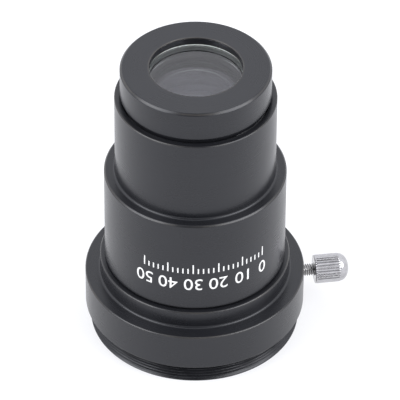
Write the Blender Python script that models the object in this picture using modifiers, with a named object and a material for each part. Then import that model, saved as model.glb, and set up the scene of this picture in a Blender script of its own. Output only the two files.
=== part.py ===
"""A 1.25 inch barlow lens with a camera thread, standing on its eyepiece end.

+Z runs along the optical axis, from the eyepiece end to the lens end. The origin is on that
axis in the plane of the seat, the ledge that rests on a focuser when the nose is pushed in.
The thumb screw points along +X.
"""

import math

import bmesh
import bpy

MM = 0.001

# Driving dimensions, in millimetres.
FORMAT_RADIUS = 15.85        # half of the 31.7 mm push-fit format, shared by nose and socket
NOSE_LENGTH = 18.1           # seat to the rim of the nose
NOSE_CHAMFER = 0.15
SEAT_WIDTH = 2.15            # width of the ledge around the nose
SEAT_FILLET = 0.5            # turned corner between the nose and its seat
BODY_LENGTH = 21.25          # seat to the lower rim of the body
BODY_TOP_CHAMFER = 0.34
BODY_END_CHAMFER = 0.2
STOP_BELOW_SEAT = 7.0        # the ledge inside that an eyepiece's barrel stops against
STOP_WIDTH = 2.9
SOCKET_CLEARANCE = 0.05      # eyepiece barrel to socket wall, on the radius
SOCKET_CHAMFER = 0.4
SPIGOT_WALL = 0.8            # wall of the holder's threaded spigot
SPIGOT_LENGTH = 6.0
SHOULDER_STEP = 0.95         # shoulder radius over body radius
SHOULDER_HEIGHT = 3.85
COLLAR_STEP = 3.0            # collar radius over shoulder radius
COLLAR_HEIGHT = 8.1
COLLAR_CHAMFER = 0.2
COLLAR_LIP = 1.0             # collar radius over the camera thread's, which comes to M42
CAMERA_THREAD_PITCH = 0.75
CAMERA_THREAD_LENGTH = 4.3
THREAD_RUNOUT = 0.65         # plain length at each end of a thread
NOSE_THREAD_WALL = 1.3       # wall left outside the lens cell's thread
CELL_THREAD_PITCH = 0.6
CELL_THREAD_LENGTH = 3.0     # below the nose's rim
CELL_SPIGOT_LENGTH = 7.4     # thread and plain pilot, from the flange down
CELL_RIM_GAP = 0.95          # between the nose's rim and the cell's flange
CELL_FLANGE_STEP = 0.5       # flange radius over the cell thread's radius
CELL_FLANGE_HEIGHT = 6.15
CELL_CHAMFER = 0.47
CELL_LIP = 1.4               # thickness of the lip in front of the lens
LENS_RADIUS = 9.6
LENS_SEAT = 0.5              # how far the lip reaches over the lens
LENS_BEVEL = 0.25            # ground edge bevel
FRONT_LENS_EDGE = 3.6
FRONT_HOLLOW_RADIUS = 100.0  # the gently hollow back of the front element
REAR_LENS_EDGE = 3.6
REAR_HOLLOW_RADIUS = 26.0    # the deep back of the rear element, which does most of the work
SPACER_HEIGHT = 0.4
RETAINER_HEIGHT = 2.0
RETAINER_SLOT_WIDTH = 1.0
RETAINER_SLOT_DEPTH = 0.7
GLARE_STOP_ABOVE_SEAT = 2.0
GLARE_STOP_HEIGHT = 3.0
GLARE_STOP_WALL = 0.8
GLARE_STOP_HOLE_RADIUS = 9.0
SCREW_RADIUS = 1.25          # M2.5 x 0.45 thumb screw
SCREW_PITCH = 0.45
SCREW_STANDOFF = 2.4         # collar to the knob's back, as the screw stands at rest
KNOB_RADIUS = 2.9
KNOB_LENGTH = 7.0
KNOB_DOME = 2.2              # length of the rounded end
KNOB_SOCKET = 3.0            # how deep the stud is pressed into the knob
KNURL_COUNT = 36
KNURL_DEPTH = 0.16
PAD_CLEARANCE = 0.1          # pad radius under the screw's radius
PAD_LENGTH = 2.0
PAD_SETBACK = 0.1            # socket wall to the pad's face at rest

FIT_GAP = 0.3                # between two pieces that touch
RIM_STEPS = 64               # facets round the large pieces
LENS_STEPS = 40
SCREW_STEPS = 16
DOME_STEPS = 5

# Radii and heights that follow from them.
SOCKET_RADIUS = FORMAT_RADIUS + SOCKET_CLEARANCE
BODY_RADIUS = FORMAT_RADIUS + SEAT_WIDTH
SPIGOT_RADIUS = SOCKET_RADIUS + SPIGOT_WALL
SKIRT_RADIUS = SPIGOT_RADIUS + FIT_GAP
SHOULDER_RADIUS = BODY_RADIUS + SHOULDER_STEP
COLLAR_RADIUS = SHOULDER_RADIUS + COLLAR_STEP
CAMERA_THREAD_RADIUS = COLLAR_RADIUS - COLLAR_LIP
NOSE_BORE_RADIUS = SOCKET_RADIUS - STOP_WIDTH
CELL_SOCKET_RADIUS = FORMAT_RADIUS - NOSE_THREAD_WALL
CELL_THREAD_RADIUS = CELL_SOCKET_RADIUS - FIT_GAP
CELL_FLANGE_RADIUS = CELL_THREAD_RADIUS + CELL_FLANGE_STEP
LENS_POCKET_RADIUS = LENS_RADIUS + FIT_GAP
CLEAR_RADIUS = LENS_RADIUS - LENS_SEAT

SHOULDER_TOP = -BODY_LENGTH - FIT_GAP
COLLAR_TOP = SHOULDER_TOP - SHOULDER_HEIGHT
COLLAR_BOTTOM = COLLAR_TOP - COLLAR_HEIGHT
BASE = COLLAR_BOTTOM - CAMERA_THREAD_LENGTH
SPIGOT_TOP = SHOULDER_TOP + SPIGOT_LENGTH
SCREW_HEIGHT = (COLLAR_TOP + COLLAR_BOTTOM) / 2
CELL_FLANGE_BOTTOM = NOSE_LENGTH + CELL_RIM_GAP
CELL_TOP = CELL_FLANGE_BOTTOM + CELL_FLANGE_HEIGHT
CELL_BOTTOM = CELL_FLANGE_BOTTOM - CELL_SPIGOT_LENGTH
CELL_SOCKET_FLOOR = CELL_BOTTOM - FIT_GAP
FRONT_LENS_TOP = CELL_TOP - CELL_LIP - FIT_GAP
FRONT_LENS_BOTTOM = FRONT_LENS_TOP - FRONT_LENS_EDGE
SPACER_TOP = FRONT_LENS_BOTTOM - FIT_GAP
REAR_LENS_TOP = SPACER_TOP - SPACER_HEIGHT - FIT_GAP
REAR_LENS_BOTTOM = REAR_LENS_TOP - REAR_LENS_EDGE
RETAINER_TOP = REAR_LENS_BOTTOM - FIT_GAP
PAD_RADIUS = SCREW_RADIUS - PAD_CLEARANCE
PAD_START = SOCKET_RADIUS + PAD_SETBACK
STUD_START = PAD_START + PAD_LENGTH + FIT_GAP
KNOB_START = COLLAR_RADIUS + SCREW_STANDOFF


def clear_scene():
    """Remove whatever the opened file holds, so that the part stands alone."""
    for old in list(bpy.data.objects):
        bpy.data.objects.remove(old, do_unlink=True)


def make_collection(name):
    """Add a named collection to the scene."""
    collection = bpy.data.collections.new(name)
    bpy.context.scene.collection.children.link(collection)
    return collection


def make_material(name, colour, roughness, metallic=0.0):
    """Give a sub-part its own plain surface finish."""
    material = bpy.data.materials.new(name)
    material.use_nodes = True
    shader = material.node_tree.nodes["Principled BSDF"]
    shader.inputs["Base Color"].default_value = (*colour, 1.0)
    shader.inputs["Roughness"].default_value = roughness
    shader.inputs["Metallic"].default_value = metallic
    return material


def arc(centre_r, centre_z, radius, start_deg, end_deg, steps):
    """Points on an arc in the profile plane; 0 degrees is outward and 90 degrees is up."""
    points = []
    for i in range(steps + 1):
        angle = math.radians(start_deg + (end_deg - start_deg) * i / steps)
        points.append((centre_r + radius * math.cos(angle), centre_z + radius * math.sin(angle)))
    return points


def outside_thread(radius, pitch, top, bottom):
    """Ridges of an outside thread, as closed rings, from top to bottom of the profile."""
    depth = 0.6 * pitch
    turns = int((top - bottom) / pitch)
    first = (top + bottom + turns * pitch) / 2
    points = []
    for turn in range(turns):
        high = first - turn * pitch
        points.append((radius - depth, high))
        points.append((radius, high - 0.4 * pitch))
        points.append((radius, high - 0.55 * pitch))
        points.append((radius - depth, high - 0.95 * pitch))
    return points


def turned(name, profile, closed, steps, collection, material):
    """Turn a profile round the Z axis. It runs down its outer side, from top to bottom."""
    mesh = bpy.data.meshes.new(name)
    edges = [(i, i + 1) for i in range(len(profile) - 1)]
    if closed:
        edges.append((len(profile) - 1, 0))
    mesh.from_pydata([(r * MM, 0.0, z * MM) for r, z in profile], edges, [])
    piece = bpy.data.objects.new(name, mesh)
    collection.objects.link(piece)
    mesh.materials.append(material)
    screw = piece.modifiers.new("turn", "SCREW")
    screw.axis = "Z"
    screw.steps = steps
    screw.render_steps = steps
    screw.use_merge_vertices = True
    screw.merge_threshold = 0.00001
    screw.use_smooth_shade = False
    return piece


def cut(piece, cutter, operation="DIFFERENCE"):
    """Cut a piece with a cutter that stays in the file as a wire guide."""
    boolean = piece.modifiers.new("cut with " + cutter.name, "BOOLEAN")
    boolean.operation = operation
    boolean.solver = "EXACT"
    boolean.object = cutter
    cutter.hide_render = True
    cutter.display_type = "WIRE"


def mesh_object(name, shape, collection):
    """Make an object of a finished bmesh."""
    mesh = bpy.data.meshes.new(name)
    shape.to_mesh(mesh)
    shape.free()
    piece = bpy.data.objects.new(name, mesh)
    collection.objects.link(piece)
    return piece


def rod(name, radius, start, end, steps, collection):
    """A plain cylinder along the local Z axis between two heights."""
    shape = bmesh.new()
    bmesh.ops.create_cone(
        shape, cap_ends=True, segments=steps, radius1=radius * MM, radius2=radius * MM,
        depth=(end - start) * MM)
    bmesh.ops.translate(shape, verts=shape.verts, vec=(0, 0, (start + end) / 2 * MM))
    return mesh_object(name, shape, collection)


def make_nose_and_body(parts, black):
    """The main tube: nose, seat and body turned from one bar, hollow right through."""
    fillet = arc(FORMAT_RADIUS + SEAT_FILLET, SEAT_FILLET, SEAT_FILLET, 180, 270, 3)
    outside = [
        (FORMAT_RADIUS - NOSE_CHAMFER, NOSE_LENGTH),
        (FORMAT_RADIUS, NOSE_LENGTH - NOSE_CHAMFER),
        *fillet,
        (BODY_RADIUS - BODY_TOP_CHAMFER, 0),
        (BODY_RADIUS, -BODY_TOP_CHAMFER),
        (BODY_RADIUS, -BODY_LENGTH + BODY_END_CHAMFER),
        (BODY_RADIUS - BODY_END_CHAMFER, -BODY_LENGTH),
    ]
    inside = [
        (SKIRT_RADIUS, -BODY_LENGTH),
        (SKIRT_RADIUS, SPIGOT_TOP + FIT_GAP),
        (SOCKET_RADIUS, SPIGOT_TOP + FIT_GAP),
        (SOCKET_RADIUS, -STOP_BELOW_SEAT),
        (NOSE_BORE_RADIUS, -STOP_BELOW_SEAT),
        (NOSE_BORE_RADIUS, CELL_SOCKET_FLOOR),
        (CELL_SOCKET_RADIUS, CELL_SOCKET_FLOOR),
        (CELL_SOCKET_RADIUS, NOSE_LENGTH),
    ]
    return turned("nose_and_body_tube", outside + inside, True, RIM_STEPS, parts, black)


def make_lens_cell(parts, black):
    """The ring that holds the lenses: a flange, and a thread that screws into the nose."""
    thread = outside_thread(
        CELL_THREAD_RADIUS, CELL_THREAD_PITCH, CELL_FLANGE_BOTTOM - CELL_THREAD_PITCH / 2,
        NOSE_LENGTH - CELL_THREAD_LENGTH)
    root = thread[0][0]
    profile = [
        (CELL_FLANGE_RADIUS - CELL_CHAMFER, CELL_TOP),
        (CELL_FLANGE_RADIUS, CELL_TOP - CELL_CHAMFER),
        (CELL_FLANGE_RADIUS, CELL_FLANGE_BOTTOM),
        (root, CELL_FLANGE_BOTTOM),
        *thread,
        (root, CELL_BOTTOM),
        (LENS_POCKET_RADIUS, CELL_BOTTOM),
        (LENS_POCKET_RADIUS, CELL_TOP - CELL_LIP),
        (CLEAR_RADIUS, CELL_TOP - CELL_LIP),
        (CLEAR_RADIUS, CELL_TOP),
    ]
    return turned("lens_cell", profile, True, RIM_STEPS, parts, black)


def hollow_face(edge_height, curve_radius, steps):
    """The hollow back of a lens from its clear edge to the axis, highest in the middle."""
    centre = edge_height - math.sqrt(curve_radius**2 - CLEAR_RADIUS**2)
    points = []
    for i in range(steps + 1):
        radius = CLEAR_RADIUS * (1 - i / steps)
        points.append((radius, centre + math.sqrt(curve_radius**2 - radius**2)))
    return points


def make_lens(name, top, bottom, curve_radius, curve_steps, parts, glass):
    """A lens element: flat in front, hollow behind, with a ground bevel at each edge."""
    profile = [
        (0, top),
        (LENS_RADIUS - LENS_BEVEL, top),
        (LENS_RADIUS, top - LENS_BEVEL),
        (LENS_RADIUS, bottom + LENS_BEVEL),
        (LENS_RADIUS - LENS_BEVEL, bottom),
        *hollow_face(bottom, curve_radius, curve_steps),
    ]
    return turned(name, profile, False, LENS_STEPS, parts, glass)


def ring_profile(outer, inner, top, bottom):
    """A plain square-edged ring."""
    return [(outer, top), (outer, bottom), (inner, bottom), (inner, top)]


def make_spacer(parts, black):
    """The thin ring that holds the two lenses apart."""
    profile = ring_profile(LENS_RADIUS, CLEAR_RADIUS, SPACER_TOP, SPACER_TOP - SPACER_HEIGHT)
    return turned("lens_spacer_ring", profile, True, LENS_STEPS, parts, black)


def make_retainer(parts, cutters, black):
    """The ring that clamps the lens stack from behind, with two slots for a spanner."""
    bottom = RETAINER_TOP - RETAINER_HEIGHT
    profile = ring_profile(LENS_RADIUS, CLEAR_RADIUS, RETAINER_TOP, bottom)
    ring = turned("lens_retaining_ring", profile, True, LENS_STEPS, parts, black)
    shape = bmesh.new()
    bmesh.ops.create_cube(shape, size=1.0)
    size = (2.5 * LENS_RADIUS * MM, RETAINER_SLOT_WIDTH * MM, 2 * RETAINER_SLOT_DEPTH * MM)
    bmesh.ops.scale(shape, verts=shape.verts, vec=size)
    bmesh.ops.translate(shape, verts=shape.verts, vec=(0, 0, bottom * MM))
    cut(ring, mesh_object("retainer_slot_cutter", shape, cutters))
    return ring


def make_glare_stop(parts, black):
    """A blackened washer with a short skirt, pressed into the nose against stray light."""
    outer = NOSE_BORE_RADIUS - FIT_GAP
    top = GLARE_STOP_ABOVE_SEAT + GLARE_STOP_HEIGHT
    profile = [
        (outer, top),
        (outer, GLARE_STOP_ABOVE_SEAT),
        (outer - GLARE_STOP_WALL, GLARE_STOP_ABOVE_SEAT),
        (outer - GLARE_STOP_WALL, top - GLARE_STOP_WALL),
        (GLARE_STOP_HOLE_RADIUS, top - GLARE_STOP_WALL),
        (GLARE_STOP_HOLE_RADIUS, top),
    ]
    return turned("glare_stop_ring", profile, True, LENS_STEPS, parts, black)


def make_eyepiece_holder(parts, cutters, black):
    """Spigot, shoulder, collar and camera thread in one piece, tapped for the thumb screw."""
    fillet = arc(
        SHOULDER_RADIUS + SEAT_FILLET, COLLAR_TOP + SEAT_FILLET, SEAT_FILLET, 180, 270, 3)
    thread = outside_thread(
        CAMERA_THREAD_RADIUS, CAMERA_THREAD_PITCH, COLLAR_BOTTOM - THREAD_RUNOUT,
        BASE + THREAD_RUNOUT)
    root = thread[0][0]
    profile = [
        (SPIGOT_RADIUS, SPIGOT_TOP),
        (SPIGOT_RADIUS, SHOULDER_TOP),
        (SHOULDER_RADIUS - COLLAR_CHAMFER, SHOULDER_TOP),
        (SHOULDER_RADIUS, SHOULDER_TOP - COLLAR_CHAMFER),
        *fillet,
        (COLLAR_RADIUS - COLLAR_CHAMFER, COLLAR_TOP),
        (COLLAR_RADIUS, COLLAR_TOP - COLLAR_CHAMFER),
        (COLLAR_RADIUS, COLLAR_BOTTOM + COLLAR_CHAMFER),
        (COLLAR_RADIUS - COLLAR_CHAMFER, COLLAR_BOTTOM),
        (CAMERA_THREAD_RADIUS, COLLAR_BOTTOM),
        (CAMERA_THREAD_RADIUS, COLLAR_BOTTOM - THREAD_RUNOUT / 2),
        (root, COLLAR_BOTTOM - THREAD_RUNOUT / 2),
        *thread,
        (root, BASE),
        (SOCKET_RADIUS + SOCKET_CHAMFER, BASE),
        (SOCKET_RADIUS, BASE + SOCKET_CHAMFER),
        (SOCKET_RADIUS, SPIGOT_TOP),
    ]
    holder = turned("eyepiece_holder", profile, True, RIM_STEPS, parts, black)
    hole = rod(
        "screw_hole_cutter", SCREW_RADIUS + FIT_GAP, SOCKET_RADIUS / 2, 1.5 * COLLAR_RADIUS,
        SCREW_STEPS, cutters)
    hole.rotation_euler = (0, math.pi / 2, 0)
    hole.location = (0, 0, SCREW_HEIGHT * MM)
    cut(holder, hole)
    return holder


def raise_cap(shape, cap, height, radius_at):
    """Extrude the top face to a new height, with each corner at the radius of its place."""
    cap = bmesh.ops.extrude_discrete_faces(shape, faces=[cap])["faces"][0]
    for vertex in cap.verts:
        angle = math.atan2(vertex.co.y, vertex.co.x)
        radius = radius_at(angle) * MM
        vertex.co = (radius * math.cos(angle), radius * math.sin(angle), height * MM)
    return cap


def make_knob(parts, cutters, chrome):
    """The head: a flat back, straight ridges round a short cylinder, and a domed end."""
    end = KNOB_START + KNOB_LENGTH
    groove = KNOB_RADIUS - KNURL_DEPTH

    def knurl(angle):
        return groove if round(angle * KNURL_COUNT / math.pi) % 2 else KNOB_RADIUS

    shape = bmesh.new()
    bmesh.ops.create_cone(
        shape, cap_ends=True, segments=2 * KNURL_COUNT, radius1=groove * MM,
        radius2=groove * MM, depth=KNURL_DEPTH * MM)
    bmesh.ops.translate(shape, verts=shape.verts, vec=(0, 0, (KNOB_START + KNURL_DEPTH / 2) * MM))
    cap = max(shape.faces, key=lambda face: face.calc_center_median().z)
    cap = raise_cap(shape, cap, KNOB_START + 2 * KNURL_DEPTH, knurl)
    cap = raise_cap(shape, cap, end - KNOB_DOME - KNURL_DEPTH, knurl)
    for i in range(DOME_STEPS):
        angle = math.pi / 2 * i / DOME_STEPS
        radius = groove * math.cos(angle)
        height = end - KNOB_DOME * (1 - math.sin(angle))
        cap = raise_cap(shape, cap, height, lambda _: radius)
    point = bmesh.ops.poke(shape, faces=[cap])["verts"][0]
    point.co.z = end * MM
    knob = mesh_object("thumb_screw_knob", shape, parts)
    knob.data.materials.append(chrome)
    socket = rod(
        "knob_socket_cutter", SCREW_RADIUS + FIT_GAP, KNOB_START - KNOB_LENGTH,
        KNOB_START + KNOB_SOCKET + FIT_GAP, SCREW_STEPS, cutters)
    cut(knob, socket)
    return knob, socket


def make_stud(parts, steel):
    """The threaded stud of the thumb screw, from the pad to its seat in the knob."""
    end = KNOB_START + KNOB_SOCKET
    thread = outside_thread(SCREW_RADIUS, SCREW_PITCH, KNOB_START, STUD_START + SCREW_PITCH)
    root = thread[0][0]
    profile = [(0, end), (root, end), *thread, (root, STUD_START), (0, STUD_START)]
    return turned("thumb_screw_stud", profile, False, SCREW_STEPS, parts, steel)


def make_pad(parts, nylon):
    """The loose nylon plug that the screw pushes against an eyepiece's barrel."""
    pad = rod("clamp_pad", PAD_RADIUS, PAD_START, PAD_START + PAD_LENGTH, SCREW_STEPS, parts)
    pad.data.materials.append(nylon)
    return pad


def main():
    clear_scene()
    parts = make_collection("barlow_lens")
    cutters = make_collection("cutters")
    black = (0.042, 0.043, 0.046)

    make_nose_and_body(parts, make_material("tube_black_anodised", black, 0.42))
    make_lens_cell(parts, make_material("cell_black_anodised", black, 0.42))
    make_eyepiece_holder(parts, cutters, make_material("holder_black_anodised", black, 0.42))
    make_lens("front_lens_element", FRONT_LENS_TOP, FRONT_LENS_BOTTOM, FRONT_HOLLOW_RADIUS, 3,
              parts, make_material("front_lens_glass", (0.80, 0.84, 0.84), 0.02))
    make_lens("rear_lens_element", REAR_LENS_TOP, REAR_LENS_BOTTOM, REAR_HOLLOW_RADIUS, 5,
              parts, make_material("rear_lens_glass", (0.78, 0.84, 0.82), 0.02))
    make_spacer(parts, make_material("spacer_matt_black", (0.02, 0.02, 0.021), 0.7))
    make_retainer(parts, cutters, make_material("retainer_matt_black", (0.03, 0.03, 0.03), 0.6))
    make_glare_stop(parts, make_material("glare_stop_matt_black", (0.012, 0.012, 0.013), 0.85))

    axis = bpy.data.objects.new("thumb_screw_axis", None)
    parts.objects.link(axis)
    axis.location = (0, 0, SCREW_HEIGHT * MM)
    axis.rotation_euler = (0, math.pi / 2, 0)
    chrome = make_material("knob_bright_chrome", (0.78, 0.78, 0.79), 0.15, 1.0)
    steel = make_material("stud_steel", (0.42, 0.42, 0.43), 0.35, 1.0)
    nylon = make_material("pad_nylon", (0.80, 0.79, 0.74), 0.5)
    for piece in (*make_knob(parts, cutters, chrome), make_stud(parts, steel),
                  make_pad(parts, nylon)):
        piece.parent = axis


main()
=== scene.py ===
import math

import bmesh
import bpy
from mathutils import Matrix, Vector


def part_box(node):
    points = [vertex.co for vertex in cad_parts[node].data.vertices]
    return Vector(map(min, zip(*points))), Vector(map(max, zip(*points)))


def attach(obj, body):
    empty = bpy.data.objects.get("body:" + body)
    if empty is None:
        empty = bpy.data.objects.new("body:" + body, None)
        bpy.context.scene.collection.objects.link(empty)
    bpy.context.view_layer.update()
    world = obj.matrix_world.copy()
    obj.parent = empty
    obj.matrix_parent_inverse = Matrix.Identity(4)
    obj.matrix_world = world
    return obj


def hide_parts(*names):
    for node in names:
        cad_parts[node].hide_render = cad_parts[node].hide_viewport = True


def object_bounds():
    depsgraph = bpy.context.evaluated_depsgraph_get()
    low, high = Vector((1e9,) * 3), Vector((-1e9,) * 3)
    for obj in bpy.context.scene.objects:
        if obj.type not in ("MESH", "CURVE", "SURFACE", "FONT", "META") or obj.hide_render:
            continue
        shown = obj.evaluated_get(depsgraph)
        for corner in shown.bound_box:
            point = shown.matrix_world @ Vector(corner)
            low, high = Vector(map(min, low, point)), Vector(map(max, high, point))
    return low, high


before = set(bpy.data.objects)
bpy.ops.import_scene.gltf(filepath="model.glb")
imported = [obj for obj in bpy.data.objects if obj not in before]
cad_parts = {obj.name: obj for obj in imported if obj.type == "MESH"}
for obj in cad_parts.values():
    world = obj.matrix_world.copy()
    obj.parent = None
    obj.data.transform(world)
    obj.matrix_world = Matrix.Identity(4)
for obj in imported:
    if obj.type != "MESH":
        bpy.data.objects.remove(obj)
cad_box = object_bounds()

# Camera: a long lens 0.8 m away, 40 degrees above the table, so that the round edges show as
# clean ellipses. It leans by less than half a degree.
MM = 0.001
VIEW_AZIMUTH = math.radians(-98.4)
VIEW_ELEVATION = math.radians(40.19)
VIEW_DISTANCE = 794.8
VIEW_LEAN = math.radians(0.415)
AIM_POINT = Vector((0.95, -0.15, -8.38))

scene = bpy.context.scene
toward_camera = Vector((
    math.cos(VIEW_ELEVATION) * math.cos(VIEW_AZIMUTH),
    math.cos(VIEW_ELEVATION) * math.sin(VIEW_AZIMUTH),
    math.sin(VIEW_ELEVATION)))
camera = bpy.data.objects.new("camera", bpy.data.cameras.new("camera"))
camera.data.lens = 361.2
camera.matrix_world = (
    Matrix.Translation((AIM_POINT + VIEW_DISTANCE * toward_camera) * MM)
    @ toward_camera.to_track_quat("Z", "Y").to_matrix().to_4x4()
    @ Matrix.Rotation(VIEW_LEAN, 4, "Z"))
scene.collection.objects.link(camera)
scene.camera = camera
scene.view_settings.view_transform = "Standard"


# Studio: a white tent all round with one dim opening where the camera stands, and a softbox on
# either side of it. A small spot to the right of the camera gives bright metal its sparkle, and
# the pale table top glows a little, as a light table does.
class Wire:
    """One output of a node. Arithmetic on it adds Math nodes to the same tree."""

    def __init__(self, socket):
        self.socket = socket

    @classmethod
    def node(cls, tree, kind, settings, values, output=0):
        """Add a node: its settings first, then the values or links of its sockets."""
        added = tree.nodes.new(kind)
        for name, value in settings.items():
            if name == "stops":
                ramp = added.color_ramp
                for place, colour in value[1:-1]:
                    ramp.elements.new(place).color = colour
                for end, (place, colour) in ((0, value[0]), (-1, value[-1])):
                    ramp.elements[end].position = place
                    ramp.elements[end].color = colour
            else:
                setattr(added, name, value)
        for name, value in values.items():
            if isinstance(value, cls):
                tree.links.new(value.socket, added.inputs[name])
            else:
                added.inputs[name].default_value = value
        return cls(added.outputs[output])

    def __getitem__(self, output):
        return Wire(self.socket.node.outputs[output])

    def maths(self, operation, first, second=0.0, clamp=False):
        return Wire.node(self.socket.id_data, "ShaderNodeMath",
                         {"operation": operation, "use_clamp": clamp}, {0: first, 1: second})

    def __add__(self, other):
        return self.maths("ADD", self, other)

    def __sub__(self, other):
        return self.maths("SUBTRACT", self, other)

    def __rsub__(self, other):
        return self.maths("SUBTRACT", other, self)

    def __mul__(self, other):
        return self.maths("MULTIPLY", self, other)

    def __truediv__(self, other):
        return self.maths("DIVIDE", self, other)

    def __pow__(self, other):
        return self.maths("POWER", self, other)

    def __abs__(self):
        return self.maths("ABSOLUTE", self)

    def clamped(self):
        return self.maths("ADD", self, 0.0, clamp=True)

    __radd__ = __add__
    __rmul__ = __mul__


TENT_LIGHT = 1.3
OPENING_LIGHT = 0.1

world = bpy.data.worlds.new("light_tent")
world.use_nodes = True
scene.world = world
direction = Wire.node(world.node_tree, "ShaderNodeTexCoord", {}, {}, "Generated")
facing = Wire.node(world.node_tree, "ShaderNodeVectorMath", {"operation": "DOT_PRODUCT"},
                   {0: direction, 1: toward_camera}, "Value")
opening = ((facing - 0.78) / 0.17).clamped()
background = world.node_tree.nodes["Background"]
background.inputs["Color"].default_value = (0.97, 0.98, 1.02, 1)
world.node_tree.links.new(
    (TENT_LIGHT - (TENT_LIGHT - OPENING_LIGHT) * opening).socket, background.inputs["Strength"])

SOFTBOX_TURN = math.radians(66)
SOFTBOX_DISTANCE = 0.75
SPOT_TURN = math.radians(32)
SPOT_DISTANCE = 0.7
for side in (-1, 1):
    lamp = bpy.data.objects.new("softbox", bpy.data.lights.new("softbox", "AREA"))
    lamp.data.size = 0.5
    lamp.data.energy = 3.3
    lamp.data.color = (0.97, 0.98, 1)
    turn = Matrix.Rotation(side * SOFTBOX_TURN, 3, "Z")
    lamp.location = turn @ toward_camera * SOFTBOX_DISTANCE
    lamp.rotation_euler = Vector(lamp.location).to_track_quat("Z", "Y").to_euler()
    scene.collection.objects.link(lamp)

spot = bpy.data.objects.new("small_spot", bpy.data.lights.new("small_spot", "AREA"))
spot.data.size = 0.14
spot.data.energy = 0.25
spot.location = Matrix.Rotation(SPOT_TURN, 3, "Z") @ toward_camera * SPOT_DISTANCE
spot.rotation_euler = spot.location.to_track_quat("Z", "Y").to_euler()
scene.collection.objects.link(spot)

table_shape = bmesh.new()
bmesh.ops.create_circle(table_shape, cap_ends=True, segments=96, radius=3.0)
bmesh.ops.translate(table_shape, verts=table_shape.verts, vec=(0, 0, cad_box[0].z))
table_mesh = bpy.data.meshes.new("table_top")
table_shape.to_mesh(table_mesh)
table_shape.free()
table = bpy.data.objects.new("table_top", table_mesh)
scene.collection.objects.link(table)


def surface(name, constants):
    """Start a material, with the values that are the same all over set on its shader."""
    material = bpy.data.materials.new(name)
    material.use_nodes = True
    shader = material.node_tree.nodes["Principled BSDF"]
    for socket, value in constants.items():
        shader.inputs[socket].default_value = value
    return material, material.node_tree, shader


def feed(tree, shader, values):
    """Link the outputs that vary over a surface to the sockets of its shader."""
    for socket, wire in values.items():
        tree.links.new(wire.socket, shader.inputs[socket])


table_paint, tree, shader = surface("white_table", {
    "Base Color": (0.3, 0.3, 0.31, 1), "Roughness": 0.9, "Specular IOR Level": 0.1,
    "Emission Color": (0.98, 0.985, 1, 1), "Emission Strength": 0.7})
table_mesh.materials.append(table_paint)


# Nose and body tube: one aluminium bar turned to two diameters, bored through, and dyed black.
# The nose pushes into a focuser, the flat ledge below it rests on the focuser's face, and the
# lathe left fine rings all over under the satin anodising.
def turned_size(node):
    """Outer radius, bottom and top of a turned CAD piece, in millimetres."""
    low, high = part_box(node)
    return high.y / MM, low.z / MM, high.z / MM


def turned(outline, steps=256, walls=()):
    """Round an outline's corners and spin it once round the Z axis.

    A corner is (radius, height) or (radius, height, rounding) in millimetres. A wall is
    (radius, rows): that upright stretch of the outline is divided into rows, for a thread.
    """
    shape = bmesh.new()
    corners = [shape.verts.new((corner[0] * MM, 0, corner[1] * MM)) for corner in outline]
    shape.faces.new(corners)
    for vertex, corner in zip(corners, outline):
        if len(corner) > 2:
            bmesh.ops.bevel(
                shape, geom=[vertex], affect="VERTICES", offset=corner[2] * MM, segments=4,
                profile=0.5, material=-1)
    bmesh.ops.delete(shape, geom=shape.faces[:], context="FACES_ONLY")
    on_axis = [e for e in shape.edges if max(v.co.x for v in e.verts) < 0.001 * MM]
    bmesh.ops.delete(shape, geom=on_axis, context="EDGES")
    for radius, rows in walls:
        wall = [e for e in shape.edges if e.calc_length() > MM
                and all(abs(v.co.x / MM - radius) < 0.001 for v in e.verts)]
        bmesh.ops.subdivide_edges(shape, edges=wall, cuts=rows - 1)
    bmesh.ops.spin(
        shape, geom=shape.verts[:] + shape.edges[:], cent=(0, 0, 0), axis=(0, 0, 1),
        dvec=(0, 0, 0), angle=math.tau, steps=steps, use_merge=True)
    bmesh.ops.remove_doubles(shape, verts=shape.verts, dist=0.0005 * MM)
    bmesh.ops.recalc_face_normals(shape, faces=shape.faces)
    return shape


def fit_piece(name, shape, finishes, body, slot, *nodes):
    """Make a finished piece of a shape. It moves with a body and stands for CAD nodes."""
    mesh = bpy.data.meshes.new(name)
    shape.to_mesh(mesh)
    shape.free()
    for finish in finishes:
        mesh.materials.append(finish)
    mesh.shade_smooth()
    mesh.set_sharp_from_angle(angle=math.radians(35))
    piece = bpy.data.objects.new(name, mesh)
    scene.collection.objects.link(piece)
    even = piece.modifiers.new("even shading", "WEIGHTED_NORMAL")
    even.keep_sharp = True
    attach(piece, body)
    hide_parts(*nodes)
    return piece


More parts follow.
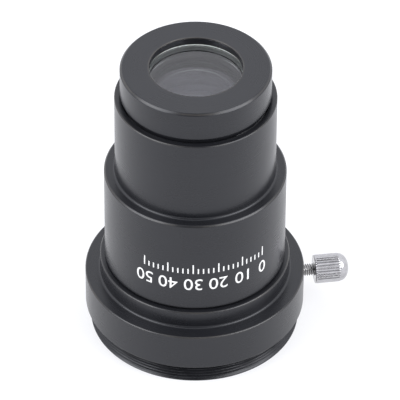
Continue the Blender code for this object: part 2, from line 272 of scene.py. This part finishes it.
def anodised(name, worn_edges_with_painted_highlight, black=0.012, roughness=0.27):
    """Black anodising over turned rings, paler along the listed edges: partly worn metal, partly a
    painted highlight standing in for what those chamfers reflect.
    """
    finish, tree, shader = surface(name, {"IOR": 1.47, "Specular Tint": (0.95, 0.96, 1, 1)})
    place = Wire.node(tree, "ShaderNodeTexCoord", {}, {}, "Object")
    axes = Wire.node(tree, "ShaderNodeSeparateXYZ", {}, {0: place})
    radius = (axes["X"] ** 2 + axes["Y"] ** 2) ** 0.5
    section = Wire.node(tree, "ShaderNodeCombineXYZ", {}, {0: radius, 1: axes["Z"]})
    rings = Wire.node(tree, "ShaderNodeTexNoise", {"noise_dimensions": "2D"},
                      {"Vector": section, "Scale": 5200, "Detail": 4})
    grain = Wire.node(tree, "ShaderNodeTexNoise", {},
                      {"Vector": place, "Scale": 9000, "Detail": 2})
    cloud = Wire.node(tree, "ShaderNodeTexNoise", {},
                      {"Vector": place, "Scale": 130, "Detail": 3})
    wear_and_painted_highlight = 0
    # Paler brownish colour near the listed edges, broken up by cloud noise: partly worn metal,
    # partly a painted highlight for the chamfers' reflections.
    for edge_radius, edge_height in worn_edges_with_painted_highlight:
        away = abs(radius / MM - edge_radius) + abs(axes["Z"] / MM - edge_height)
        wear_and_painted_highlight = wear_and_painted_highlight + (1 - away / 0.35).clamped()
    wear_and_painted_highlight = (wear_and_painted_highlight * (cloud - 0.28) * 2.2).clamped()
    tone = 0.85 + 0.2 * rings + 0.3 * (cloud - 0.5) + 0.2 * (grain - 0.5)
    dyed = Wire.node(tree, "ShaderNodeVectorMath", {"operation": "SCALE"}, {
        0: (black, black * 1.04, black * 1.25), "Scale": tone})
    # Mix in the pale edge colour, partly rubbed metal and partly painted highlight.
    colour = Wire.node(tree, "ShaderNodeMix", {"data_type": "RGBA"}, {
        0: wear_and_painted_highlight * 0.55, 6: dyed, 7: (0.115, 0.105, 0.09, 1)}, 2)
    bump = Wire.node(tree, "ShaderNodeBump", {}, {
        "Strength": 0.5, "Distance": 0.004 * MM, "Height": rings + 0.5 * grain})
    feed(tree, shader, {
        "Base Color": colour,
        "Roughness": roughness - 0.04 + 0.1 * cloud + 0.04 * (rings - 0.5) - 0.06 * wear_and_painted_highlight,
        "Normal": bump})
    return finish


BODY_RADIUS, BODY_BOTTOM, NOSE_RIM = turned_size("nose_and_body_tube")
NOSE_RADIUS = 15.85
NOSE_CHAMFER = 0.15
SEAT_HEIGHT = 0
SOCKET_RADIUS = 15.9
STOP_HEIGHT = -7
NOSE_BORE_RADIUS = 13
CELL_SOCKET_RADIUS = 14.55
CELL_SOCKET_FLOOR = 11.35
SKIRT_RADIUS = 17
SKIRT_TOP = -15.25
TOP_CHAMFER = 0.34
END_CHAMFER = 0.2

tube_outline = [
    (NOSE_RADIUS - NOSE_CHAMFER, NOSE_RIM, 0.04),
    (NOSE_RADIUS, NOSE_RIM - NOSE_CHAMFER, 0.04),
    (NOSE_RADIUS, SEAT_HEIGHT, 0.5),
    (BODY_RADIUS - TOP_CHAMFER, SEAT_HEIGHT, 0.08),
    (BODY_RADIUS, SEAT_HEIGHT - TOP_CHAMFER, 0.08),
    (BODY_RADIUS, BODY_BOTTOM + END_CHAMFER, 0.08),
    (BODY_RADIUS - END_CHAMFER, BODY_BOTTOM, 0.08),
    (SKIRT_RADIUS, BODY_BOTTOM, 0.06),
    (SKIRT_RADIUS, SKIRT_TOP),
    (SOCKET_RADIUS, SKIRT_TOP, 0.1),
    (SOCKET_RADIUS, STOP_HEIGHT),
    (NOSE_BORE_RADIUS, STOP_HEIGHT, 0.15),
    (NOSE_BORE_RADIUS, CELL_SOCKET_FLOOR, 0.1),
    (CELL_SOCKET_RADIUS, CELL_SOCKET_FLOOR),
    (CELL_SOCKET_RADIUS, NOSE_RIM, 0.12),
]
# Its listed edges are paled by rubbing and by a painted highlight.
tube_black = anodised("tube_black_anodised", [
    (NOSE_RADIUS, NOSE_RIM),
    (BODY_RADIUS - 0.17, SEAT_HEIGHT - 0.17),
    (BODY_RADIUS - 0.1, BODY_BOTTOM + 0.1)])
fit_piece("nose_and_body", turned(tube_outline), [tube_black], "tube", "black_anodised",
          "nose_and_body_tube")


# Scale: white ink printed straight on the body, upside down when the part stands on its
# eyepiece end. Plain numerals over a row of division marks, a few hundredths proud.
INK_HEIGHT = 0.03
SCALE_CENTRE = math.radians(-91.2)
SCALE_HALF = math.radians(40.1)
NUMERAL_FOOT = -13.49
NUMERAL_SIZE = 2.82
MARK_FOOT = -9.84
MARK_LENGTH = 2.23
MARK_WIDTH = 0.26
NUMERALS = ("0", "10", "20", "30", "40", "50")
MARKS_PER_NUMERAL = 5

ink = bmesh.new()


def wrap(flat, angle, foot):
    """Bend a flat shape round the body, upside down, with its foot at that height."""
    left, right = (f(v.co.x for v in flat.verts) for f in (min, max))
    for i in range(1, math.ceil((right - left) / 0.3)):
        bmesh.ops.bisect_plane(
            flat, geom=flat.verts[:] + flat.edges[:] + flat.faces[:],
            plane_co=(left + 0.3 * i, 0, 0), plane_no=(1, 0, 0))
    for vertex in flat.verts:
        across, up, out = vertex.co
        turn = angle - (across - (left + right) / 2) / BODY_RADIUS
        radius = (BODY_RADIUS + (INK_HEIGHT if out > 0 else -INK_HEIGHT)) * MM
        vertex.co = (radius * math.cos(turn), radius * math.sin(turn), (foot - up) * MM)
    mesh = bpy.data.meshes.new("ink")
    flat.to_mesh(mesh)
    flat.free()
    ink.from_mesh(mesh)
    bpy.data.meshes.remove(mesh)


for i, numeral in enumerate(NUMERALS):
    text = bpy.data.curves.new("numeral", "FONT")
    text.body = numeral
    text.size = NUMERAL_SIZE / 0.7
    text.extrude = 0.1
    text.resolution_u = 6
    holder = bpy.data.objects.new("numeral", text)
    scene.collection.objects.link(holder)
    bpy.context.view_layer.update()
    outline = bpy.data.meshes.new_from_object(
        holder.evaluated_get(bpy.context.evaluated_depsgraph_get()))
    bpy.data.objects.remove(holder)
    flat = bmesh.new()
    flat.from_mesh(outline)
    bpy.data.meshes.remove(outline)
    bmesh.ops.remove_doubles(flat, verts=flat.verts, dist=0.001)
    foot = min(v.co.y for v in flat.verts)
    height = max(v.co.y for v in flat.verts) - foot
    bmesh.ops.translate(flat, verts=flat.verts, vec=(0, -foot, 0))
    bmesh.ops.scale(flat, verts=flat.verts, vec=(NUMERAL_SIZE / height,) * 2 + (1,))
    place = SCALE_CENTRE + SCALE_HALF * (1 - 2 * i / (len(NUMERALS) - 1))
    wrap(flat, place, NUMERAL_FOOT)

mark_count = (len(NUMERALS) - 1) * MARKS_PER_NUMERAL
for i in range(mark_count + 1):
    major = i % MARKS_PER_NUMERAL == 0
    length = MARK_LENGTH if major else 0.55 * MARK_LENGTH
    mark = bmesh.new()
    bmesh.ops.create_cube(mark, size=1.0)
    bmesh.ops.scale(mark, verts=mark.verts, vec=(MARK_WIDTH, length, 0.2))
    bmesh.ops.translate(mark, verts=mark.verts, vec=(0, MARK_LENGTH - length / 2, 0))
    wrap(mark, SCALE_CENTRE + SCALE_HALF * (1 - 2 * i / mark_count), MARK_FOOT)

bmesh.ops.recalc_face_normals(ink, faces=ink.faces)
white_ink, tree, shader = surface("white_ink", {"Specular IOR Level": 0.35})
place = Wire.node(tree, "ShaderNodeTexCoord", {}, {}, "Object")
speckle = Wire.node(tree, "ShaderNodeTexNoise", {}, {"Vector": place, "Scale": 2600, "Detail": 4})
thin = Wire.node(tree, "ShaderNodeTexNoise", {}, {"Vector": place, "Scale": 420, "Detail": 2})
cover = ((speckle + 0.6 * thin - 0.52) * 9).clamped()
ink_colour = Wire.node(tree, "ShaderNodeMix", {"data_type": "RGBA"}, {
    0: cover, 6: (0.42, 0.42, 0.43, 1), 7: (0.86, 0.86, 0.85, 1)}, 2)
ink_bump = Wire.node(tree, "ShaderNodeBump", {}, {
    "Strength": 0.4, "Distance": 0.006 * MM, "Height": speckle})
feed(tree, shader, {
    "Base Color": ink_colour, "Roughness": 0.5 + 0.2 * speckle, "Normal": ink_bump})
fit_piece("printed_scale", ink, [white_ink], "tube", "black_anodised")


# Lens cell: a turned black ring that screws into the nose by a fine right-hand thread, all but
# hidden in the nose below a narrow gap. Its front lip holds the lenses in.
def cut_thread(shape, radius, pitch, bottom, top):
    """Press a right-hand thread with flat crests into an upright wall, fading at its ends."""
    depth = 0.6 * pitch
    for vertex in shape.verts:
        x, y, z = vertex.co / MM
        if abs(math.hypot(x, y) - radius) > 0.001 or not bottom <= z <= top:
            continue
        phase = (z / pitch - math.atan2(y, x) / math.tau) % 1
        from_root = abs(phase - 0.5) * 2
        flank = min(1, max(0, (0.93 - from_root) / 0.7))
        fade = min(1, (z - bottom) / (0.6 * pitch), (top - z) / (0.6 * pitch))
        share = (radius - depth * flank * max(0, fade)) / radius
        vertex.co.x *= share
        vertex.co.y *= share


CELL_RADIUS, CELL_BOTTOM, CELL_FACE = turned_size("lens_cell")
LENS_RADIUS, FRONT_LENS_BOTTOM, FRONT_LENS_TOP = turned_size("front_lens_element")
CELL_THREAD_RADIUS = 14.25
CELL_THREAD_PITCH = 0.6
FLANGE_BOTTOM = CELL_FACE - 6.15
CELL_CHAMFER = 0.47
POCKET_RADIUS = LENS_RADIUS + 0.3
CLEAR_RADIUS = LENS_RADIUS - 0.5
LIP = 1.4

cell_outline = [
    (CELL_RADIUS - CELL_CHAMFER, CELL_FACE, 0.08),
    (CELL_RADIUS, CELL_FACE - CELL_CHAMFER, 0.08),
    (CELL_RADIUS, FLANGE_BOTTOM, 0.1),
    (CELL_THREAD_RADIUS, FLANGE_BOTTOM),
    (CELL_THREAD_RADIUS, CELL_BOTTOM, 0.2),
    (POCKET_RADIUS, CELL_BOTTOM, 0.1),
    (POCKET_RADIUS, CELL_FACE - LIP),
    (CLEAR_RADIUS, CELL_FACE - LIP, 0.1),
    (CLEAR_RADIUS, CELL_FACE, 0.12),
]
cell_shape = turned(cell_outline, 256, [(CELL_THREAD_RADIUS, 112)])
cut_thread(cell_shape, CELL_THREAD_RADIUS, CELL_THREAD_PITCH, 15.1, NOSE_RIM - 0.1)
# Its listed edges are paled by rubbing and by a painted highlight.
cell_black = anodised("cell_black_anodised", [
    (CELL_RADIUS - 0.2, CELL_FACE - 0.2),
    (CLEAR_RADIUS, CELL_FACE)])
fit_piece("lens_cell_ring", cell_shape, [cell_black], "tube", "black_anodised", "lens_cell")


# Lenses: two coated elements, polished on both faces and left ground and greenish round the edge.
# The ground edge shines by painted emission, and the bevel at the front rim shines brighter. The
# front one is nearly flat, the rear one deep.
LENS_BEVEL = 0.35
HOLLOW_STEPS = 24
# Depth below the front lens's top and half width of the painted highlight stripe on the ground
# edge, in millimetres.
PAINTED_GLINT_DEPTH = 1.0
PAINTED_GLINT_HALF_WIDTH = 0.3


def lens_shape(top, bottom, hollow_radius):
    """A disc with a flat front and a hollow back.

    Its edge takes finish 1, the bevel round the front finish 2 and the hollow back finish 3.
    """
    rim = hollow_radius - math.sqrt(hollow_radius ** 2 - CLEAR_RADIUS ** 2)
    hollow = [(0, bottom + rim)]
    for i in range(1, HOLLOW_STEPS + 1):
        radius = CLEAR_RADIUS * i / HOLLOW_STEPS
        drop = hollow_radius - math.sqrt(hollow_radius ** 2 - radius ** 2)
        hollow.append((radius, bottom + rim - drop))
    outline = [
        (0, top),
        (LENS_RADIUS - LENS_BEVEL, top),
        (LENS_RADIUS, top - LENS_BEVEL),
        (LENS_RADIUS, bottom + LENS_BEVEL),
        (LENS_RADIUS - LENS_BEVEL, bottom),
        *reversed(hollow),
    ]
    shape = turned(outline, 192)
    for face in shape.faces:
        centre = face.calc_center_median() / MM
        if math.hypot(centre.x, centre.y) > CLEAR_RADIUS + 0.25:
            face.material_index = 2 if centre.z > top - LENS_BEVEL else 1
        elif face.normal.z < 0:
            face.material_index = 3
    return shape


def polished_glass(name, tint, index, coating):
    """Clear glass with a thin coating, and a trace of dust that dulls it in places."""
    finish, tree, shader = surface(name, {
        "IOR": index, "Transmission Weight": 1.0, "Specular Tint": coating})
    place = Wire.node(tree, "ShaderNodeTexCoord", {}, {}, "Object")
    smear = Wire.node(tree, "ShaderNodeTexNoise", {}, {"Vector": place, "Scale": 160, "Detail": 5})
    haze = ((smear - 0.55) * 5).clamped()
    colour = Wire.node(tree, "ShaderNodeMix", {"data_type": "RGBA"}, {
        0: haze, 6: tint, 7: tuple(0.985 * c for c in tint[:3]) + (1,)}, 2)
    feed(tree, shader, {"Base Color": colour, "Roughness": 0.004 + 0.008 * haze})
    return finish


def ground_glass_painted_glow(name, tone, painted_glow_strength):
    """The unpolished edge of a lens: pale grey with short darker chips all round.

    A painted highlight makes it palest in a thin stripe just under the lip, painted shade makes it
    dimmer further down the edge, and the whole edge shines with a painted emission, though no lamp
    is there.
    """
    finish, tree, shader = surface(name, {"IOR": 1.5, "Emission Strength": 1.0})
    place = Wire.node(tree, "ShaderNodeTexCoord", {}, {}, "Object")
    axes = Wire.node(tree, "ShaderNodeSeparateXYZ", {}, {0: place})
    turn = Wire.node(tree, "ShaderNodeMath", {"operation": "ARCTAN2"}, {
        0: axes["Y"], 1: axes["X"]})
    around = Wire.node(tree, "ShaderNodeCombineXYZ", {}, {0: turn * 9.6, 1: axes["Z"] / MM * 1.6})
    chips = Wire.node(tree, "ShaderNodeTexNoise", {"noise_dimensions": "2D"},
                      {"Vector": around, "Scale": 2.4, "Detail": 3, "Roughness": 0.7})
    fine = Wire.node(tree, "ShaderNodeTexNoise", {}, {"Vector": place, "Scale": 8000, "Detail": 3})
    # Painted highlight: a pale stripe just under the lip. Painted shade: the chips dim further down
    # the edge. Painted emission makes the edge shine though it is no lamp.
    depth = FRONT_LENS_TOP - axes["Z"] / MM
    painted_glint = (1 - abs(depth - PAINTED_GLINT_DEPTH) / PAINTED_GLINT_HALF_WIDTH).clamped()
    chips_under_painted_shade = ((chips - 0.42) * 6).clamped() * (1.25 - 0.42 * depth).clamped()
    colour = Wire.node(tree, "ShaderNodeMix", {"data_type": "RGBA"}, {
        0: (0.75 * chips_under_painted_shade + painted_glint).clamped(), 6: (0.2 * tone, 0.21 * tone, 0.215 * tone, 1),
        7: (0.96 * tone, tone, 0.99 * tone, 1)}, 2)
    # The painted emission, strongest in the highlight stripe.
    painted_glow = Wire.node(tree, "ShaderNodeVectorMath", {"operation": "SCALE"}, {
        0: colour, "Scale": painted_glow_strength * (0.4 + chips_under_painted_shade + 3 * painted_glint)})
    bump = Wire.node(tree, "ShaderNodeBump", {}, {
        "Strength": 0.6, "Distance": 0.01 * MM, "Height": fine})
    feed(tree, shader, {
        "Base Color": colour, "Emission Color": painted_glow, "Roughness": 0.5 + 0.3 * fine,
        "Normal": bump})
    return finish


fit_piece("front_lens", lens_shape(FRONT_LENS_TOP, FRONT_LENS_BOTTOM, 100),
          [polished_glass("front_lens_glass", (0.97, 0.99, 0.98, 1), 1.7, (0.96, 0.96, 1, 1)),
           # The ground edge and the front bevel shine by painted emission.
           ground_glass_painted_glow("ground_glass_edge_painted_glow", 0.85, 0.22),
           ground_glass_painted_glow("ground_glass_rim_painted_glow", 0.9, 0.35),
           polished_glass("coated_lens_back", (0.97, 0.99, 0.98, 1), 1.52, (0.55, 0.52, 0.66, 1))],
          "tube", "lens_glass", "front_lens_element")


# Lens spacer, retaining ring and glare stop: small turned rings blackened dead matt. The retaining
# ring screws in behind the lenses and has two slots for a pin spanner. The edge of the rear lens is
# painted with the same black, to stop stray light, all but its front bevel, which is ground glass
# that shines by painted emission.
def blackened(name, tone):
    """Matt black oxide, slightly mottled, over the lathe's rings."""
    finish, tree, shader = surface(name, {"Specular IOR Level": 0.25})
    place = Wire.node(tree, "ShaderNodeTexCoord", {}, {}, "Object")
    axes = Wire.node(tree, "ShaderNodeSeparateXYZ", {}, {0: place})
    radius = (axes["X"] ** 2 + axes["Y"] ** 2) ** 0.5
    section = Wire.node(tree, "ShaderNodeCombineXYZ", {}, {0: radius, 1: axes["Z"]})
    rings = Wire.node(tree, "ShaderNodeTexNoise", {"noise_dimensions": "2D"},
                      {"Vector": section, "Scale": 4200, "Detail": 3})
    mottle = Wire.node(tree, "ShaderNodeTexNoise", {}, {"Vector": place, "Scale": 900, "Detail": 4})
    colour = Wire.node(tree, "ShaderNodeVectorMath", {"operation": "SCALE"}, {
        0: (tone, tone, tone * 1.05), "Scale": 0.6 + 0.8 * mottle})
    bump = Wire.node(tree, "ShaderNodeBump", {}, {
        "Strength": 0.5, "Distance": 0.01 * MM, "Height": rings + mottle})
    feed(tree, shader, {
        "Base Color": colour, "Roughness": 0.6 + 0.3 * mottle, "Normal": bump})
    return finish


def ring_outline(outer, inner, bottom, top):
    """A plain ring with its corners just broken."""
    return [(outer, top, 0.05), (outer, bottom, 0.05), (inner, bottom, 0.05), (inner, top, 0.05)]


matt_black = blackened("matt_black_oxide", 0.02)
_, REAR_LENS_BOTTOM, REAR_LENS_TOP = turned_size("rear_lens_element")
fit_piece("rear_lens", lens_shape(REAR_LENS_TOP, REAR_LENS_BOTTOM, 26),
          [polished_glass("rear_lens_glass", (0.95, 0.99, 0.97, 1), 1.42, (0.2, 0.18, 0.26, 1)),
           blackened("painted_lens_edge", 0.015),
           # Its front bevel is ground glass that shines strongly by painted emission, a thin pale
           # arc seen through the front lens.
           ground_glass_painted_glow("ground_glass_bevel_painted_glow", 0.9, 5.0),
           polished_glass("rear_lens_back", (0.95, 0.99, 0.97, 1), 1.42, (0.2, 0.18, 0.26, 1))],
          "tube", "lens_glass", "rear_lens_element")

SPACER_RADIUS, SPACER_BOTTOM, SPACER_TOP = turned_size("lens_spacer_ring")
fit_piece("lens_spacer", turned(ring_outline(
    SPACER_RADIUS, CLEAR_RADIUS, SPACER_BOTTOM, SPACER_TOP), 192),
    [matt_black], "tube", "matt_black", "lens_spacer_ring")

RETAINER_RADIUS, RETAINER_BOTTOM, RETAINER_TOP = turned_size("lens_retaining_ring")
SLOT_WIDTH = 1.0
SLOT_DEPTH = 0.7
retainer_shape = turned(ring_outline(
    RETAINER_RADIUS, CLEAR_RADIUS, RETAINER_BOTTOM, RETAINER_TOP), 192)
retainer = fit_piece("lens_retainer", retainer_shape, [matt_black], "tube", "matt_black",
                     "lens_retaining_ring")


def cut_away(piece, cutter_shape):
    """Take a cutter's shape out of a piece for good."""
    mesh = bpy.data.meshes.new("cutter")
    cutter_shape.to_mesh(mesh)
    cutter_shape.free()
    cutter = bpy.data.objects.new("cutter", mesh)
    scene.collection.objects.link(cutter)
    boolean = piece.modifiers.new("cut", "BOOLEAN")
    boolean.solver = "EXACT"
    boolean.object = cutter
    piece.modifiers.move(len(piece.modifiers) - 1, 0)
    bpy.context.view_layer.update()
    kept = piece.modifiers["even shading"].show_viewport
    piece.modifiers["even shading"].show_viewport = False
    cut_mesh = bpy.data.meshes.new_from_object(
        piece.evaluated_get(bpy.context.evaluated_depsgraph_get()))
    piece.modifiers["even shading"].show_viewport = kept
    piece.modifiers.remove(boolean)
    piece.data = cut_mesh
    cut_mesh.shade_smooth()
    cut_mesh.set_sharp_from_angle(angle=math.radians(35))
    bpy.data.objects.remove(cutter)


slot_cutter = bmesh.new()
bmesh.ops.create_cube(slot_cutter, size=1.0)
bmesh.ops.scale(slot_cutter, verts=slot_cutter.verts,
                vec=(2.5 * RETAINER_RADIUS * MM, SLOT_WIDTH * MM, 2 * SLOT_DEPTH * MM))
bmesh.ops.translate(slot_cutter, verts=slot_cutter.verts, vec=(0, 0, RETAINER_BOTTOM * MM))
cut_away(retainer, slot_cutter)

STOP_RADIUS, STOP_BOTTOM, STOP_TOP = turned_size("glare_stop_ring")
STOP_HOLE_RADIUS = 9
STOP_WALL = 0.8
stop_outline = [
    (STOP_RADIUS, STOP_TOP, 0.1),
    (STOP_RADIUS, STOP_BOTTOM, 0.05),
    (STOP_RADIUS - STOP_WALL, STOP_BOTTOM, 0.05),
    (STOP_RADIUS - STOP_WALL, STOP_TOP - STOP_WALL),
    (STOP_HOLE_RADIUS, STOP_TOP - STOP_WALL, 0.05),
    (STOP_HOLE_RADIUS, STOP_TOP, 0.3),
]
fit_piece("glare_stop", turned(stop_outline, 192), [blackened("stop_matt_black", 0.012)],
          "tube", "matt_black", "glare_stop_ring")


# Eyepiece holder: the wide end, turned in one piece with its shoulder, the collar that takes
# the clamp screw, and the male camera thread that the part stands on. It screws into the body.
COLLAR_RADIUS, BASE, SPIGOT_TOP = turned_size("eyepiece_holder")
SHOULDER_RADIUS = COLLAR_RADIUS - 3
SHOULDER_TOP = BODY_BOTTOM - 0.3
COLLAR_TOP = SHOULDER_TOP - 3.85
COLLAR_BOTTOM = COLLAR_TOP - 8.1
SPIGOT_RADIUS = 16.7
CAMERA_THREAD_RADIUS = COLLAR_RADIUS - 1
CAMERA_THREAD_PITCH = 0.75
EDGE_CHAMFER = 0.2

holder_outline = [
    (SPIGOT_RADIUS, SPIGOT_TOP, 0.1),
    (SPIGOT_RADIUS, SHOULDER_TOP),
    (SHOULDER_RADIUS - EDGE_CHAMFER, SHOULDER_TOP, 0.1),
    (SHOULDER_RADIUS, SHOULDER_TOP - EDGE_CHAMFER, 0.1),
    (SHOULDER_RADIUS, COLLAR_TOP, 0.5),
    (COLLAR_RADIUS - EDGE_CHAMFER, COLLAR_TOP, 0.08),
    (COLLAR_RADIUS, COLLAR_TOP - EDGE_CHAMFER, 0.08),
    (COLLAR_RADIUS, COLLAR_BOTTOM + EDGE_CHAMFER, 0.08),
    (COLLAR_RADIUS - EDGE_CHAMFER, COLLAR_BOTTOM, 0.08),
    (CAMERA_THREAD_RADIUS, COLLAR_BOTTOM),
    (CAMERA_THREAD_RADIUS, BASE, 0.2),
    (SOCKET_RADIUS + 0.4, BASE, 0.08),
    (SOCKET_RADIUS, BASE + 0.4, 0.08),
    (SOCKET_RADIUS, SPIGOT_TOP, 0.1),
]
holder_shape = turned(holder_outline, 256, [(CAMERA_THREAD_RADIUS, 88)])
cut_thread(holder_shape, CAMERA_THREAD_RADIUS, CAMERA_THREAD_PITCH, BASE + 0.25,
           COLLAR_BOTTOM - 0.1)
# Its listed edges are paled by rubbing and by a painted highlight.
holder_black = anodised("holder_black_anodised", [
    (COLLAR_RADIUS - 0.15, COLLAR_TOP - 0.15),
    (COLLAR_RADIUS - 0.15, COLLAR_BOTTOM + 0.15),
    (SHOULDER_RADIUS - 0.15, SHOULDER_TOP - 0.15)])
holder = fit_piece("eyepiece_end", holder_shape, [holder_black], "tube", "black_anodised",
                   "eyepiece_holder")

SCREW_HEIGHT = (COLLAR_TOP + COLLAR_BOTTOM) / 2
SCREW_RADIUS = 1.25
to_screw = (
    Matrix.Translation((0, 0, SCREW_HEIGHT * MM)) @ Matrix.Rotation(math.pi / 2, 4, "Y"))
hole_cutter = turned([
    (0, SOCKET_RADIUS / 2),
    (0, COLLAR_RADIUS + 1.2),
    (SCREW_RADIUS + 1.5, COLLAR_RADIUS + 1.2),
    (SCREW_RADIUS + 0.08, COLLAR_RADIUS - 0.25),
    (SCREW_RADIUS + 0.08, SOCKET_RADIUS / 2)], 48)
bmesh.ops.transform(hole_cutter, matrix=to_screw, verts=hole_cutter.verts)
cut_away(holder, hole_cutter)


# Thumb screw: a steel stud with a fine thread, pressed into a bright plated knob. The knob has
# a flat back, a straight knurl rolled round its middle, and a smooth domed end.
def screw_size(node):
    """Radius, near end and far end of a piece on the screw's axis, in millimetres."""
    low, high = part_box(node)
    return high.y / MM, low.x / MM, high.x / MM


KNOB_RADIUS, KNOB_BACK, KNOB_END = screw_size("thumb_screw_knob")
STUD_RADIUS, STUD_TIP, STUD_END = screw_size("thumb_screw_stud")
KNURL_COUNT = 36
KNURL_DEPTH = 0.14
KNURL_FADE = 0.25
DOME_LENGTH = 1.9
BORE_RADIUS = STUD_RADIUS + 0.05
knurl_end = KNOB_END - DOME_LENGTH
smooth_radius = KNOB_RADIUS - 0.6 * KNURL_DEPTH

dome = []
for i in range(1, 13):
    angle = math.pi / 2 * i / 12
    dome.append((smooth_radius * math.cos(angle), knurl_end + DOME_LENGTH * math.sin(angle)))
dome[-1] = (0, KNOB_END)
knob_outline = [
    *reversed(dome),
    (KNOB_RADIUS, knurl_end),
    (KNOB_RADIUS, KNOB_BACK, 0.12),
    (BORE_RADIUS, KNOB_BACK, 0.1),
    (BORE_RADIUS, STUD_END + 0.1),
    (0, STUD_END + 0.1),
]
knob_shape = turned(knob_outline, 8 * KNURL_COUNT, [(KNOB_RADIUS, 40)])
for vertex in knob_shape.verts:
    x, y, z = vertex.co / MM
    if abs(math.hypot(x, y) - KNOB_RADIUS) > 0.001:
        continue
    ridge = 0.5 + 0.5 * math.cos(KNURL_COUNT * math.atan2(y, x))
    ridge = min(1, 1.35 * ridge)
    fade = max(0, min(1, (z - KNOB_BACK - 0.1) / KNURL_FADE, (knurl_end - z) / KNURL_FADE))
    height = smooth_radius + (KNOB_RADIUS - KNURL_DEPTH * (1 - ridge) - smooth_radius) * fade
    vertex.co.x *= height / KNOB_RADIUS
    vertex.co.y *= height / KNOB_RADIUS
bmesh.ops.transform(knob_shape, matrix=to_screw, verts=knob_shape.verts)

chrome, tree, shader = surface("knob_bright_chrome", {"Metallic": 1.0})
place = Wire.node(tree, "ShaderNodeTexCoord", {}, {}, "Object")
rub = Wire.node(tree, "ShaderNodeTexNoise", {}, {"Vector": place, "Scale": 700, "Detail": 4})
pits = Wire.node(tree, "ShaderNodeTexNoise", {}, {"Vector": place, "Scale": 5200, "Detail": 3})
colour = Wire.node(tree, "ShaderNodeMix", {"data_type": "RGBA"}, {
    0: ((rub - 0.4) * 3).clamped(), 6: (0.5, 0.495, 0.51, 1), 7: (0.4, 0.395, 0.405, 1)}, 2)
bump = Wire.node(tree, "ShaderNodeBump", {}, {
    "Strength": 0.5, "Distance": 0.003 * MM, "Height": pits + rub})
feed(tree, shader, {
    "Base Color": colour, "Roughness": 0.1 + 0.14 * rub, "Normal": bump})
fit_piece("clamp_knob", knob_shape, [chrome], "thumb_screw", "bright_chrome",
          "thumb_screw_knob")

STUD_PITCH = 0.45
stud_outline = [
    (0, STUD_END),
    (STUD_RADIUS, STUD_END, 0.1),
    (STUD_RADIUS, STUD_TIP, 0.25),
    (0, STUD_TIP),
]
stud_shape = turned(stud_outline, 48, [(STUD_RADIUS, 228)])
cut_thread(stud_shape, STUD_RADIUS, STUD_PITCH, STUD_TIP + 0.2, KNOB_BACK + 0.3)
bmesh.ops.transform(stud_shape, matrix=to_screw, verts=stud_shape.verts)
steel, tree, shader = surface("stud_plated_steel", {"Metallic": 1.0})
place = Wire.node(tree, "ShaderNodeTexCoord", {}, {}, "Object")
dull = Wire.node(tree, "ShaderNodeTexNoise", {}, {"Vector": place, "Scale": 1500, "Detail": 4})
colour = Wire.node(tree, "ShaderNodeMix", {"data_type": "RGBA"}, {
    0: dull, 6: (0.34, 0.34, 0.35, 1), 7: (0.62, 0.61, 0.6, 1)}, 2)
bump = Wire.node(tree, "ShaderNodeBump", {}, {
    "Strength": 0.5, "Distance": 0.004 * MM, "Height": dull})
feed(tree, shader, {"Base Color": colour, "Roughness": 0.14 + 0.2 * dull, "Normal": bump})
fit_piece("clamp_stud", stud_shape, [steel], "thumb_screw", "screw_steel", "thumb_screw_stud")


# Clamp pad: a loose plug of natural nylon at the screw's tip, which presses on an eyepiece's
# barrel without marking it. Its face is worn slightly round.
PAD_RADIUS, PAD_FACE, PAD_BACK = screw_size("clamp_pad")
pad_shape = turned([
    (0, PAD_BACK),
    (PAD_RADIUS, PAD_BACK, 0.1),
    (PAD_RADIUS, PAD_FACE, 0.25),
    (0, PAD_FACE)], 48)
bmesh.ops.transform(pad_shape, matrix=to_screw, verts=pad_shape.verts)
nylon, tree, shader = surface("pad_nylon", {
    "Subsurface Weight": 0.15, "Subsurface Scale": 0.3 * MM})
place = Wire.node(tree, "ShaderNodeTexCoord", {}, {}, "Object")
scuff = Wire.node(tree, "ShaderNodeTexNoise", {}, {"Vector": place, "Scale": 1800, "Detail": 4})
colour = Wire.node(tree, "ShaderNodeMix", {"data_type": "RGBA"}, {
    0: scuff, 6: (0.84, 0.82, 0.76, 1), 7: (0.7, 0.67, 0.58, 1)}, 2)
bump = Wire.node(tree, "ShaderNodeBump", {}, {
    "Strength": 0.5, "Distance": 0.01 * MM, "Height": scuff})
feed(tree, shader, {"Base Color": colour, "Roughness": 0.4 + 0.25 * scuff, "Normal": bump})
fit_piece("nylon_pad", pad_shape, [nylon], "pad", "nylon", "clamp_pad")
